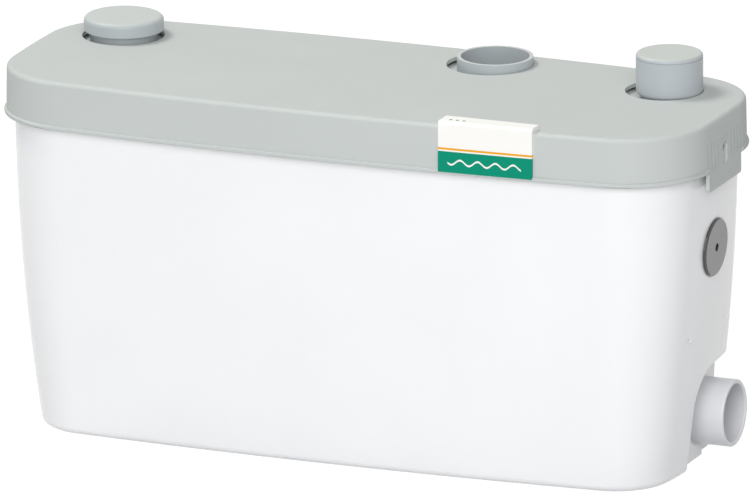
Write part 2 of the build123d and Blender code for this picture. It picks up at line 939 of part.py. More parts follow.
def discharge_cap():
    """Tall round cap over the pressure stub."""
    cap = upright(cap_radius, cap_low_z, cap_top_z, right_port)
    cap = fillet(cap.edges().group_by(Axis.Z)[-1], cap_round)
    cap = fillet(cap.edges().group_by(Axis.Z)[0], cap_foot_round)
    groove_z = cap_top_z - cap_groove_drop
    groove = tube(cap_radius + over, cap_radius - cap_groove, groove_z - cap_groove, groove_z, right_port)
    hollow = upright(stub_radius + cap_play, cap_low_z - over, stub_top_z + cap_play, right_port)
    return cap - groove - hollow


def flap_hinge_offset(seat_radius, knuckle):
    """Distance from the middle of a flap to its pin."""
    return seat_radius + knuckle + flap_play


def flap_pin_level():
    """Height of a flap's pin below the seat."""
    return -flap_play - flap / 2


def cross_pin(radius, half_length, y, z):
    """Cylinder along the local X axis."""
    return Pos(0, y, z) * Rot(0, 90, 0) * Cylinder(radius, 2 * half_length)


def make_flap(radius, seat_radius, knuckle):
    """Flap below a seat at the local origin: disc, arm and knuckle."""
    y = -flap_hinge_offset(seat_radius, knuckle)
    z = flap_pin_level()
    low = -flap_play - flap
    leaf = upright(radius, low, -flap_play)
    leaf = leaf + block((-flap_arm_half, flap_arm_half), (y, 0.0), (low, -flap_play))
    leaf = leaf + cross_pin(knuckle, flap_arm_half, y, z)
    return leaf - cross_pin(flap_pin_radius + flap_pin_play, radius, y, z)


def make_flap_ears(seat_radius, knuckle, top, inner):
    """Two ears beside a flap's knuckle, up to the local level top."""
    y = -flap_hinge_offset(seat_radius, knuckle)
    z = flap_pin_level()
    ears = []
    for sign in (-1, 1):
        x = sorted((sign * (flap_arm_half + flap_play), sign * (flap_arm_half + flap_play + flap_ear)))
        ear = block(x, (y - knuckle, y + knuckle), (z - knuckle, top))
        ear = ear + block(x, (y - knuckle, -inner), (0.0, top))
        ears.append(ear - cross_pin(flap_pin_radius, 2 * seat_radius, y, z))
    return ears


def make_flap_pin(seat_radius, knuckle):
    """Hinge pin held in both ears."""
    half = flap_arm_half + flap_play + flap_ear
    return cross_pin(flap_pin_radius, half, -flap_hinge_offset(seat_radius, knuckle), flap_pin_level())


side_flap_plane = Plane(
    origin=(side_inlet_inner_x, side_inlet_y, side_inlet_z), x_dir=(0, -1, 0), z_dir=(1, 0, 0)
)
top_flap_plane = Plane(origin=(*middle_passage_at, top_seat_z), x_dir=(1, 0, 0), z_dir=(0, 0, 1))
valve_flap_plane = Plane(origin=(*right_port, valve_seat_z), x_dir=(0, 1, 0), z_dir=(0, 0, -1))


def side_flange_disc(start, end):
    """Round plate round the side inlet, cut flat above the tank's floor."""
    disc = lying(side_flange_radius, start, end, *side_inlet)
    high = side_inlet_z + side_flange_radius
    wide = (side_inlet_y - side_flange_radius, side_inlet_y + side_flange_radius)
    return disc & block((start, end), wide, (tank_wall + floor_play, high))


def side_inlet_spigot():
    """Pipe stub through the recess wall, with an inner flange and the ears of its flap."""
    y, z = side_inlet
    pipe = lying(pipe_radius, recess_x, side_inlet_end_x, y, z)
    pipe = pipe + lying(side_collar_radius, side_flange_x, side_collar_end_x, y, z)
    pipe = pipe + lying(side_seat_radius, side_inlet_inner_x, side_flange_x, y, z)
    body = pipe + side_flange_disc(side_flange_x, side_seal_x)
    top = side_flange_x - side_inlet_inner_x
    for ear in make_flap_ears(side_seat_radius, inlet_knuckle, top, side_seat_radius - over):
        body = body + side_flap_plane * ear
    body = body - lying(pipe_bore, side_inlet_inner_x - over, side_inlet_end_x + over, y, z)
    for hole_y, hole_z in side_screw_points():
        body = body - lying(small_screw_radius, side_flange_x - over, side_seal_x + over, hole_y, hole_z)
    lip = body.edges().group_by(Axis.X)[-1]
    return fillet(lip, side_inlet_lip_round)


def side_inlet_seal():
    """Flat ring between the spigot's flange and the tank wall."""
    y, z = side_inlet
    ring = side_flange_disc(side_seal_x, recess_inner_x)
    ring = ring - lying(side_collar_radius, side_seal_x - over, recess_inner_x + over, y, z)
    for hole_y, hole_z in side_screw_points():
        ring = ring - lying(small_screw_radius, side_seal_x - over, recess_inner_x + over, hole_y, hole_z)
    return ring


def side_inlet_screws():
    """Screws through the spigot's flange into the tank wall."""
    screws = []
    for y, z in side_screw_points():
        shank = lying(small_screw_radius, side_flange_x - over, recess_x - over, y, z)
        head = lying(small_head_radius, side_flange_x - small_head, side_flange_x, y, z)
        screws.append(shank + head)
    return screws


def side_flap():
    """Non-return flap of the side inlet."""
    return side_flap_plane * make_flap(side_flap_radius, side_seat_radius, inlet_knuckle)


def side_flap_pin():
    """Pin of the side inlet's flap."""
    return side_flap_plane * make_flap_pin(side_seat_radius, inlet_knuckle)


def top_flap_housing():
    """Short tube under the middle socket, with two screw ears and the ears of its flap."""
    length = top_housing_length
    body = upright(top_housing_radius, 0.0, length)
    for x in (-top_ear_x, top_ear_x):
        ear = upright(top_ear_radius, length - top_ear, length, (x, 0.0))
        reach = sorted((x, x / 2))
        body = body + ear + block(reach, (-top_ear_radius, top_ear_radius), (length - top_ear, length))
    inner = top_housing_radius - over
    for ear in make_flap_ears(top_housing_radius, inlet_knuckle, top_flap_ear_rise, inner):
        body = body + ear
    body = body - upright(top_housing_bore, -over, length + over)
    for x in (-top_ear_x, top_ear_x):
        body = body - upright(small_screw_radius, length - top_ear - over, length + over, (x, 0.0))
    return top_flap_plane * body


def top_inlet_seal():
    """Flat ring between the cover and the flap housing."""
    x, y = middle_passage_at
    levels = (top_housing_z, cover_low_z)
    ring = upright(top_housing_radius, *levels, middle_passage_at)
    ring = ring + block((x - top_ear_x, x + top_ear_x), (y - top_ear_radius, y + top_ear_radius), levels)
    for point in top_ear_points():
        ring = ring + upright(top_ear_radius, *levels, point)
        ring = ring - upright(small_screw_radius, top_housing_z - over, cover_low_z + over, point)
    return ring - upright(middle_passage, top_housing_z - over, cover_low_z + over, middle_passage_at)


def top_housing_screws():
    """Screws that hold the flap housing under the cover."""
    screws = []
    for point in top_ear_points():
        low = top_housing_z - top_ear
        shank = upright(small_screw_radius, low - over, cover_low_z + cover / 2, point)
        screws.append(shank + upright(small_head_radius, low - small_head, low, point))
    return screws


def top_flap():
    """Non-return flap of the top inlet."""
    return top_flap_plane * make_flap(top_flap_radius, top_housing_radius, inlet_knuckle)


def top_flap_pin():
    """Pin of the top inlet's flap."""
    return top_flap_plane * make_flap_pin(top_housing_radius, inlet_knuckle)


def check_valve_body():
    """Valve chamber below the pressure stub, with seat, neck and hose tail."""
    body = upright(valve_radius, valve_low_z, valve_top_z, right_port)
    body = body + upright(valve_neck_radius, valve_top_z - over, valve_top_z + valve_neck, right_port)
    body = body + upright(hose_bore, hose_top_z - tail_length, valve_low_z + over, right_port)
    chamber = upright(valve_radius - valve_wall, valve_floor_z, valve_top_z - valve_wall, right_port)
    body = body - chamber
    body = body + upright(valve_seat_radius, valve_floor_z - over, valve_seat_z, right_port)
    body = body - upright(stub_radius, valve_top_z, valve_top_z + 2 * valve_neck, right_port)
    body = body - upright(stub_bore, valve_seat_z, valve_top_z + over, right_port)
    body = body - upright(tail_bore, hose_top_z - 2 * tail_length, valve_seat_z + over, right_port)
    ear_sizes = (valve_seat_radius, valve_knuckle, valve_seat_rise + over, valve_seat_radius + flap_play)
    for ear in make_flap_ears(*ear_sizes):
        body = body + valve_flap_plane * ear
    return body


def check_valve_flap():
    """Flap of the pressure outlet's non-return valve."""
    return valve_flap_plane * make_flap(valve_flap_radius, valve_seat_radius, valve_knuckle)


def check_valve_pin():
    """Pin of the outlet flap."""
    return valve_flap_plane * make_flap_pin(valve_seat_radius, valve_knuckle)


def nozzle_end_x():
    """Where the pump's nozzle ends."""
    return motor_x + nozzle_length


def discharge_hose():
    """Rubber hose from the pump's nozzle up to the valve."""
    start_x = nozzle_end_x() - tail_length
    route = FilletPolyline(
        (start_x, nozzle_y, nozzle_z),
        (hose_riser_x, nozzle_y, nozzle_z),
        (hose_riser_x, nozzle_y, hose_slant_low_z),
        (right_port[0], right_port[1], hose_slant_high_z),
        (right_port[0], right_port[1], hose_top_z),
        radius=[hose_low_bend, hose_high_bend, hose_high_bend],
    )
    start = Plane(origin=(start_x, nozzle_y, nozzle_z), z_dir=(1, 0, 0))
    wall = start * (Circle(hose_radius) - Circle(hose_bore))
    return sweep(wall, path=route)


def hose_clips():
    """Two round clips over the ends of the hose."""
    high = hose_top_z - clip_set_back
    upper = tube(hose_radius + clip, hose_radius, high - clip_width, high, right_port)
    start = nozzle_end_x() - tail_length + clip_set_back
    lower = lying(hose_radius + clip, start, start + clip_width, nozzle_y, nozzle_z)
    lower = lower - lying(hose_radius, start - over, start + clip_width + over, nozzle_y, nozzle_z)
    return [upper, lower]


def side_plug_metal_disc():
    """Bevelled metal disc outside the tank wall."""
    disc = upright(side_plug_disc_radius, seat, seat + side_plug_disc)
    disc = chamfer(disc.edges().group_by(Axis.Z)[-1], side_plug_bevel)
    disc = disc - side_plug_head()
    disc = disc - upright(side_plug_screw_radius, -over, side_plug_disc + over)
    return side_plug_plane() * disc


def side_plug_head():
    """Countersunk head of the plug's screw."""
    top = seat + side_plug_disc
    height = side_plug_disc
    middle = Pos(0, 0, top - height / 2)
    return middle * Cone(side_plug_screw_radius, side_plug_head_radius, height)


def side_plug_rubber_bush():
    """Rubber that the screw squeezes against the hole."""
    length = side_plug_rubber_length
    return side_plug_plane() * tube(side_plug_rubber, side_plug_screw_radius, -length, seat)


def side_plug_back_plate():
    """Plate behind the rubber, which the screw draws outwards."""
    high = -side_plug_rubber_length
    plate = tube(side_plug_back_radius, side_plug_screw_radius, high - side_plug_back, high)
    return side_plug_plane() * plate


def side_plug_screw():
    """Countersunk screw with a hexagon socket."""
    low = -side_plug_rubber_length - 2 * side_plug_back
    top = seat + side_plug_disc
    body = upright(side_plug_screw_radius, low, top - over / 2) + side_plug_head()
    socket = Pos(0, 0, top - side_plug_socket_depth)
    key = extrude(RegularPolygon(side_plug_socket, 6), amount=2 * side_plug_socket_depth)
    return side_plug_plane() * (body - socket * key)


def pump_screw_points():
    """Places of the pump screws."""
    step = 360 / lug_count
    return [polar(motor_axis, lug_pitch_radius, lug_start_deg + step * n) for n in range(lug_count)]


def pump_lugs(low, high):
    """Screw lugs round the pump."""
    return [upright(lug_radius, low, high, point) for point in pump_screw_points()]


def motor_housing():
    """Steel tube round the motor."""
    return tube(motor_radius, motor_radius - motor_wall, motor_low_z, motor_high_z, motor_axis)


def motor_shield_top():
    """Upper end shield with the upper bearing's seat, under the cover."""
    bearing_low = motor_high_z - bearing_sink - bearing_length
    body = upright(motor_radius, motor_high_z, cover_low_z, motor_axis)
    body = body + upright(bearing_boss, bearing_low, motor_high_z + over, motor_axis)
    body = body - upright(bearing_radius, bearing_low - over, motor_high_z - bearing_sink, motor_axis)
    for point in motor_screw_points():
        low = cover_high_z - motor_screw_length
        body = body - upright(screw_radius, low, cover_low_z + over, point)
    return body


def upper_bearing():
    """Bearing at the shaft's upper end."""
    high = motor_high_z - bearing_sink
    return tube(bearing_radius, shaft_radius + shaft_play, high - bearing_length, high, motor_axis)


def lower_bearing():
    """Bearing above the seal housing's cavity."""
    high = motor_low_z
    return tube(bearing_radius, shaft_radius + shaft_play, high - bearing_length, high, motor_axis)


def motor_screws():
    """Screws through the cover into the motor's upper shield."""
    sizes = (screw_radius, screw_head_radius, screw_head, motor_screw_length)
    return [screw(*sizes, point, cover_high_z) for point in motor_screw_points()]


def stator_slot_points():
    """Places of the slots in the stator core."""
    step = 360 / stator_slots
    return [polar(motor_axis, stator_slot_pitch_radius, step * n) for n in range(stator_slots)]


def stator_core():
    """Laminated core with slots for the windings."""
    core = tube(stator_radius, stator_bore, stator_low_z, stator_high_z, motor_axis)
    for point in stator_slot_points():
        core = core - upright(stator_slot_radius, stator_low_z - over, stator_high_z + over, point)
    return core


def stator_windings():
    """Two end windings joined by the bars in the slots."""
    low = tube(winding_radius, winding_bore, stator_low_z - winding_height, stator_low_z, motor_axis)
    high = tube(winding_radius, winding_bore, stator_high_z, stator_high_z + winding_height, motor_axis)
    bars = [
        upright(stator_slot_radius, stator_low_z - over, stator_high_z + over, point)
        for point in stator_slot_points()
    ]
    return fuse([low, high] + bars)


def rotor():
    """Rotor core on the shaft."""
    return tube(rotor_radius, shaft_radius, stator_low_z, stator_high_z, motor_axis)


def pump_shaft():
    """Shaft from the impeller nut to the upper bearing."""
    return upright(shaft_radius, shaft_low_z, motor_high_z - bearing_sink, motor_axis)


def seal_housing():
    """Housing between motor and pump, with the shaft seal below and the lower bearing above."""
    low = seal_housing_low_z
    body = upright(seal_housing_radius, low, motor_low_z, motor_axis)
    body = body + upright(motor_radius, motor_low_z - seal_floor, motor_low_z, motor_axis)
    body = body + fuse(pump_lugs(low, low + lug_height_pump))
    body = body - upright(seal_cavity_radius, low + seal_floor, motor_low_z - seal_floor, motor_axis)
    boss_low = motor_low_z - bearing_length - seal_floor
    body = body + upright(bearing_boss, boss_low, motor_low_z, motor_axis)
    body = body - upright(bearing_radius, motor_low_z - bearing_length, motor_low_z + over, motor_axis)
    body = body - upright(shaft_radius + over, boss_low - over, motor_low_z, motor_axis)
    body = body - upright(seal_radius, low - over, low + seal_floor + over, motor_axis)
    for point in pump_screw_points():
        body = body - upright(screw_radius, low - over, low + lug_height_pump + over, point)
    return body


def shaft_seal():
    """Seal round the shaft in the floor of the seal housing."""
    low = seal_housing_low_z
    return tube(seal_radius, shaft_radius + shaft_play, low, low + seal_length, motor_axis)


def volute_casing():
    """Pump casing with its eye, screw lugs and side nozzle."""
    high = seal_housing_low_z
    body = upright(volute_radius, volute_low_z, high, motor_axis)
    body = body + fuse(pump_lugs(high - lug_height_pump, high))
    tail_x = nozzle_end_x() - tail_length
    body = body + lying(nozzle_radius, motor_x, tail_x, nozzle_y, nozzle_z)
    body = body + lying(hose_bore, motor_x, nozzle_end_x(), nozzle_y, nozzle_z)
    inside = volute_radius - volute_wall
    body = body - upright(inside, volute_low_z + volute_wall, high + over, motor_axis)
    body = body - upright(eye_radius, volute_low_z - over, volute_low_z + 2 * volute_wall, motor_axis)
    body = body - lying(tail_bore, motor_x, nozzle_end_x() + over, nozzle_y, nozzle_z)
    for point in pump_screw_points():
        body = body - upright(screw_radius, high - lug_height_pump - over, high + over, point)
    return body


def pump_screws():
    """Screws through the casing's lugs into the seal housing."""
    low = seal_housing_low_z - lug_height_pump
    screws = []
    for point in pump_screw_points():
        shank = upright(screw_radius, low - over, low + pump_screw_length, point)
        screws.append(shank + upright(screw_head_radius, low - screw_head, low, point))
    return screws


def impeller():
    """Open impeller: back plate, hub and vanes."""
    plate = upright(impeller_radius, impeller_high_z - impeller_plate, impeller_high_z)
    wheel = plate + upright(impeller_hub, impeller_low_z, impeller_high_z)
    half = impeller_vane / 2
    for n in range(impeller_vanes):
        vane = block((0.0, impeller_radius - half), (-half, half), (impeller_low_z, impeller_high_z))
        wheel = wheel + Rot(0, 0, 360 / impeller_vanes * n) * vane
    wheel = wheel - upright(shaft_radius, impeller_low_z - over, impeller_high_z + over)
    return Pos(motor_x, motor_y, 0) * wheel


def impeller_nut():
    """Hexagon nut below the impeller."""
    low = shaft_low_z + over
    hexagon = extrude(RegularPolygon(nut_across / 2, 6, major_radius=False), amount=impeller_low_z - low)
    nut = Pos(motor_x, motor_y, low) * hexagon
    return nut - upright(shaft_radius, low - over, impeller_low_z + over, motor_axis)


def intake_strainer():
    """Slotted skirt between the pump casing and the tank floor."""
    low = tank_wall
    body = upright(strainer_radius, low, volute_low_z)
    body = body + upright(strainer_flange, volute_low_z - strainer_wall, volute_low_z)
    body = body - upright(strainer_radius - strainer_wall, low - over, volute_low_z + over)
    half = strainer_slot / 2
    for n in range(strainer_slots):
        slot = block((0.0, strainer_flange), (-half, half), (low - over, low + strainer_slot_height))
        body = body - Rot(0, 0, 360 / strainer_slots * n) * slot
    return Pos(motor_x, motor_y, 0) * body


def tray_box(inset, low, high):
    """Rounded box of the control tray, drawn in by an inset."""
    box = block(
        (tray_x_from + inset, tray_x_to - inset), (tray_y_from + inset, tray_y_to - inset), (low, high)
    )
    return fillet(box.edges().filter_by(Axis.Z), tray_round - inset)


def control_tray():
    """Dry tray under the cover for switch, capacitor and terminals."""
    body = tray_box(0.0, tray_low_z, cover_low_z)
    body = body - tray_box(tray_wall, tray_low_z + tray_wall, cover_low_z + over)
    hole = upright(nipple_radius, tray_low_z - over, tray_low_z + tray_wall + over, (bell_x, bell_y))
    return body - hole


def air_bell():
    """Bell that traps air below the tray, with its neck and nipple."""
    at = (bell_x, bell_y)
    body = upright(bell_radius, bell_low_z, bell_high_z, at)
    body = body + upright(bell_neck, bell_high_z - over, tray_low_z, at)
    body = body + upright(bell_collar, tray_low_z - bell_wall, tray_low_z, at)
    body = body + upright(nipple_radius, tray_low_z - over, tray_low_z + nipple_length, at)
    body = body - upright(bell_radius - bell_wall, bell_low_z - over, bell_high_z - bell_wall, at)
    return body - upright(bell_neck_bore, bell_high_z - 2 * bell_wall, cover_low_z, at)


def air_tube():
    """Short rubber tube from the bell's nipple to the switch."""
    return tube(air_tube_radius, nipple_radius, air_tube_from_z, air_tube_to_z, (bell_x, bell_y))


def switch_body():
    """Round body of the pressure switch, with its nipple below and guide hole above."""
    at = (bell_x, bell_y)
    body = upright(switch_radius, switch_low_z, switch_high_z, at)
    body = body + upright(nipple_radius, switch_low_z - switch_nipple, switch_low_z + over, at)
    inside = switch_radius - switch_wall
    body = body - upright(inside, switch_low_z + switch_wall, switch_high_z - switch_wall, at)
    body = body - upright(bell_neck_bore, switch_low_z - 2 * switch_nipple, switch_low_z + switch_wall, at)
    guide = plunger_radius + plunger_play
    return body - upright(guide, switch_high_z - 2 * switch_wall, switch_high_z + over, at)


def diaphragm_low_z():
    """Underside of the diaphragm."""
    return switch_low_z + switch_wall + diaphragm


def switch_diaphragm():
    """Rubber diaphragm with a turned-down edge that stands on the switch's floor."""
    at = (bell_x, bell_y)
    radius = switch_radius - switch_wall - diaphragm_inset
    low = diaphragm_low_z()
    disc = upright(radius, low, low + diaphragm, at)
    floor = switch_low_z + switch_wall
    return disc + tube(radius, radius - diaphragm, floor, low + diaphragm / 2, at)


def switch_plunger():
    """Plunger between diaphragm and microswitch."""
    at = (bell_x, bell_y)
    low = diaphragm_low_z() + diaphragm
    body = upright(plunger_foot_radius, low, low + plunger_foot, at)
    return body + upright(plunger_radius, low, plunger_high_z, at)


def microswitch():
    """Microswitch on two legs over the plunger."""
    low = plunger_high_z + plunger_travel + flap_play
    half_x = microswitch_length / 2
    half_y = microswitch_width / 2
    y = (bell_y - half_y, bell_y + half_y)
    body = block((bell_x - half_x, bell_x + half_x), y, (low, microswitch_high_z))
    for x in (bell_x - half_x, bell_x + half_x - microswitch_leg):
        body = body + block((x, x + microswitch_leg), y, (switch_high_z, low))
    return body


def capacitor():
    """Run capacitor lying on the tray's floor, with two terminals."""
    middle = (tray_x_from + tray_x_to) / 2
    z = tray_low_z + tray_wall + capacitor_radius
    start = middle - capacitor_length / 2
    end = middle + capacitor_length / 2
    can = lying(capacitor_radius, start, end, capacitor_y, z)
    tip = end + capacitor_terminal_length
    for y in (capacitor_y - capacitor_radius / 2, capacitor_y + capacitor_radius / 2):
        can = can + lying(capacitor_terminal, end - over, tip, y, z)
    return can


def terminal_block():
    """Terminal block with its screw wells."""
    low = tray_low_z + tray_wall
    high = low + terminal_height
    x = (terminal_x - terminal_width / 2, terminal_x + terminal_width / 2)
    y = (terminal_y - terminal_length / 2, terminal_y + terminal_length / 2)
    body = block(x, y, (low, high))
    pitch = terminal_length / terminal_poles
    for n in range(terminal_poles):
        at = (terminal_x, y[0] + pitch * (n + 0.5))
        body = body - upright(screw_radius, high - terminal_height / 2, high + over, at)
    return body


def carbon_filter():
    """Round pad of active carbon in its cup."""
    return upright(filter_radius, filter_low_z, filter_low_z + filter_height, (filter_x, filter_y))


def filter_grid_disc():
    """Pierced disc over the carbon."""
    low = filter_low_z + filter_height
    at = (filter_x, filter_y)
    disc = upright(filter_radius, low, low + filter_grid, at)
    disc = disc - upright(filter_hole, low - over, low + filter_grid + over, at)
    rings = ((grid_inner_pitch_radius, grid_inner_count), (grid_outer_pitch_radius, grid_outer_count))
    for circle, count in rings:
        for n in range(count):
            hole_at = polar(at, circle, 360 / count * n)
            disc = disc - upright(filter_hole, low - over, low + filter_grid + over, hole_at)
    return disc


def hexagon_y(across, start, end, x, z):
    """Hexagonal prism with its axis along Y."""
    plane = Plane(origin=(x, start, z), x_dir=(1, 0, 0), z_dir=(0, 1, 0))
    return plane * extrude(RegularPolygon(across / 2, 6, major_radius=False), amount=end - start)


def cable_gland():
    """Gland body: hexagon outside, thread through the wall, open bore."""
    near = edge_y(tank_plan(gland_z), abs(gland_x) - gland_across / math.sqrt(3)) + gland_play / 2
    wall_y = gland_rear_y()
    inner = wall_y - tank_wall - gland_nut - 2 * gland_play
    body = hexagon_y(gland_across, near, near + gland_proud / 2, gland_x, gland_z)
    body = body + across_y(gland_across / 2 - over, near, near + gland_proud, gland_x, gland_z)
    body = body + across_y(gland_thread - gland_play, inner - gland_nut, near + over, gland_x, gland_z)
    return body - across_y(gland_bore, inner - 2 * gland_nut, near + 2 * gland_proud, gland_x, gland_z)


def gland_lock_nut():
    """Nut of the gland inside the tank."""
    reach = abs(gland_x) + gland_nut_across / 2
    high = edge_y(tank_plan(gland_z - gland_nut_across / 2), reach) - tank_wall - gland_play
    nut = hexagon_y(gland_nut_across, high - gland_nut, high, gland_x, gland_z)
    thread = gland_thread - gland_play
    return nut - across_y(thread, high - 2 * gland_nut, high + over, gland_x, gland_z)


PIECES = {
    "tank": tank,
    "cover_gasket": cover_gasket,
    "tank_cover": tank_cover,
    "cover_screws": cover_screws,
    "top_inlet_socket": middle_socket,
    "pressure_stub": pressure_stub,
    "lid": lid,
    "lid_catch": lid_catch,
    "badge_plate": badge_plate,
    "inlet_plug": inlet_plug,
    "inlet_plug_ring": inlet_plug_ring,
    "discharge_cap": discharge_cap,
    "side_inlet_spigot": side_inlet_spigot,
    "side_inlet_seal": side_inlet_seal,
    "side_inlet_screws": side_inlet_screws,
    "side_inlet_flap": side_flap,
    "side_flap_pin": side_flap_pin,
    "side_plug_disc": side_plug_metal_disc,
    "side_plug_rubber": side_plug_rubber_bush,
    "side_plug_back_plate": side_plug_back_plate,
    "side_plug_screw": side_plug_screw,
    "top_flap_housing": top_flap_housing,
    "top_inlet_seal": top_inlet_seal,
    "top_housing_screws": top_housing_screws,
    "top_inlet_flap": top_flap,
    "top_flap_pin": top_flap_pin,
    "check_valve_body": check_valve_body,
    "check_valve_flap": check_valve_flap,
    "check_valve_pin": check_valve_pin,
    "discharge_hose": discharge_hose,
    "hose_clips": hose_clips,
    "motor_housing": motor_housing,
    "motor_top_shield": motor_shield_top,
    "motor_screws": motor_screws,
    "stator_core": stator_core,
    "stator_windings": stator_windings,
    "rotor": rotor,
    "pump_shaft": pump_shaft,
    "upper_bearing": upper_bearing,
    "lower_bearing": lower_bearing,
    "seal_housing": seal_housing,
    "shaft_seal": shaft_seal,
    "volute_casing": volute_casing,
    "pump_screws": pump_screws,
    "impeller": impeller,
    "impeller_nut": impeller_nut,
    "intake_strainer": intake_strainer,
    "air_bell": air_bell,
    "air_tube": air_tube,
    "control_tray": control_tray,
    "pressure_switch_body": switch_body,
    "switch_diaphragm": switch_diaphragm,
    "switch_plunger": switch_plunger,
    "microswitch": microswitch,
    "capacitor": capacitor,
    "terminal_block": terminal_block,
    "carbon_filter": carbon_filter,
    "filter_grid": filter_grid_disc,
    "cable_gland": cable_gland,
    "gland_nut": gland_lock_nut,
}


def as_compound(made):
    """One shape for a node: all the solids that a piece's function made."""
    shapes = made if isinstance(made, list) else [made]
    solids = []
    for shape in shapes:
        solids += shape.solids()
    return solids[0] if len(solids) == 1 else Compound(solids)


os.makedirs("parts", exist_ok=True)
for name, make in PIECES.items():
    export_step(as_compound(make()), "parts/" + name + ".step")
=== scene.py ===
"""Camera, materials, floor, lamps and small marks of the lifting unit, in metres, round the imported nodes."""

import json
import math

import bpy
from mathutils import Matrix, Vector


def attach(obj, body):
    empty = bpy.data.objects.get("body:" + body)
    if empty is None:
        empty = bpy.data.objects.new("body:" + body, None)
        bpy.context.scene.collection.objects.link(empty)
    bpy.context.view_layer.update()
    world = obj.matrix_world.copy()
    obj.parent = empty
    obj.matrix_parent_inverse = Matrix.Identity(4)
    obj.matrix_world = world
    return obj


MM = 0.001


def direction(azimuth, elevation):
    """Unit vector towards a place, azimuth in degrees from the front towards the right end."""
    turn = math.radians(azimuth)
    rise = math.radians(elevation)
    return Vector((math.sin(turn) * math.cos(rise), -math.cos(turn) * math.cos(rise), math.sin(rise)))


def put(name, data):
    """New object in the scene."""
    made = bpy.data.objects.new(name, data)
    bpy.context.collection.objects.link(made)
    return made


# Camera: a long lens at the photograph's angle, so that the view is nearly parallel

IMAGE_WIDTH = 750
SCALE_PX_PER_MM = 1.6975
LENS = 1120.0
SENSOR = 36.0
NEAREST = 1.0
FARTHEST = 500.0
VIEW_AZIMUTH = 22.51
VIEW_ELEVATION = 15.72
VIEW_ROLL = -0.37
VIEW_CENTRE = (0.0, 0.0, 130.0)
VIEW_SHIFT_RIGHT = 0.77
VIEW_SHIFT_UP = 16.87


def make_camera():
    azimuth = math.radians(VIEW_AZIMUTH)
    roll = math.radians(VIEW_ROLL)
    back = direction(VIEW_AZIMUTH, VIEW_ELEVATION)
    level = Vector((math.cos(azimuth), math.sin(azimuth), 0.0))
    upright = back.cross(level)
    right = level * math.cos(roll) + upright * math.sin(roll)
    up = upright * math.cos(roll) - level * math.sin(roll)
    centre = (Vector(VIEW_CENTRE) - right * VIEW_SHIFT_RIGHT - up * VIEW_SHIFT_UP) * MM
    distance = LENS / SENSOR * IMAGE_WIDTH / SCALE_PX_PER_MM * MM
    data = bpy.data.cameras.new("camera")
    data.type = "PERSP"
    data.sensor_width = SENSOR
    data.lens = LENS
    data.clip_start = NEAREST
    data.clip_end = FARTHEST
    camera = put("camera", data)
    rotation = Matrix((right, up, back)).transposed()
    camera.matrix_world = Matrix.Translation(centre + back * distance) @ rotation.to_4x4()
    bpy.context.scene.camera = camera


make_camera()
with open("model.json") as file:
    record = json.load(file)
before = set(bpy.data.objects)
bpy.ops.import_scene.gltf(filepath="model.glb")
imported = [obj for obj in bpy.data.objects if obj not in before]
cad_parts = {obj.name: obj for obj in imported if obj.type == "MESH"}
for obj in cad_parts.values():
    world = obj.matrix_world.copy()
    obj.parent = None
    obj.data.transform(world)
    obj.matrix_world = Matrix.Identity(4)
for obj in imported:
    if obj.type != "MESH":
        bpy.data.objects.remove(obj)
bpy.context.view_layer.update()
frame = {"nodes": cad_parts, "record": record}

NODES = frame["nodes"]


def node_box(node):
    """Lowest and highest corner of a node."""
    axes = list(zip(*NODES[node].bound_box))
    return Vector(map(min, axes)), Vector(map(max, axes))


# Material trees


class Tree:
    """Short way to build a material's node tree."""

    def __init__(self, name):
        self.material = bpy.data.materials.new(name)
        self.material.use_nodes = True
        self.tree = self.material.node_tree
        self.shader = self.tree.nodes["Principled BSDF"]

    def node(self, kind, **settings):
        made = self.tree.nodes.new(kind)
        for key, value in settings.items():
            setattr(made, key, value)
        return made

    def link(self, out, into):
        self.tree.links.new(out, into)

    def set(self, socket, value):
        self.shader.inputs[socket].default_value = value

    def feed(self, socket, source):
        self.link(source, self.shader.inputs[socket])

    def place(self):
        return self.node("ShaderNodeTexCoord").outputs["Object"]

    def noise(self, scale, detail=3.0, roughness=0.5, stretch=None):
        """Noise over the object, its scale in cells to the metre."""
        made = self.node("ShaderNodeTexNoise")
        made.inputs["Scale"].default_value = scale
        made.inputs["Detail"].default_value = detail
        made.inputs["Roughness"].default_value = roughness
        source = self.place()
        if stretch is not None:
            mapping = self.node("ShaderNodeMapping")
            mapping.inputs["Scale"].default_value = stretch
            self.link(source, mapping.inputs["Vector"])
            source = mapping.outputs["Vector"]
        self.link(source, made.inputs["Vector"])
        return made.outputs["Fac"]

    def spread(self, source, low, high, start=0.35, end=0.65):
        """The source's range from start to end, spread from low to high."""
        made = self.node("ShaderNodeMapRange")
        made.inputs["From Min"].default_value = start
        made.inputs["From Max"].default_value = end
        made.inputs["To Min"].default_value = low
        made.inputs["To Max"].default_value = high
        self.link(source, made.inputs["Value"])
        return made.outputs["Result"]

    def blend(self, factor, first, second):
        """Mix of two colours, each a constant or another node's output."""
        made = self.node("ShaderNodeMix", data_type="RGBA")
        self.link(factor, made.inputs["Factor"])
        for socket, colour in (("A", first), ("B", second)):
            if isinstance(colour, tuple):
                made.inputs[socket].default_value = (*colour, 1.0)
            else:
                self.link(colour, made.inputs[socket])
        return made.outputs["Result"]

    def bump(self, height, strength, distance, before=None):
        made = self.node("ShaderNodeBump")
        made.inputs["Strength"].default_value = strength
        made.inputs["Distance"].default_value = distance
        self.link(height, made.inputs["Height"])
        if before is not None:
            self.link(before, made.inputs["Normal"])
        return made.outputs["Normal"]


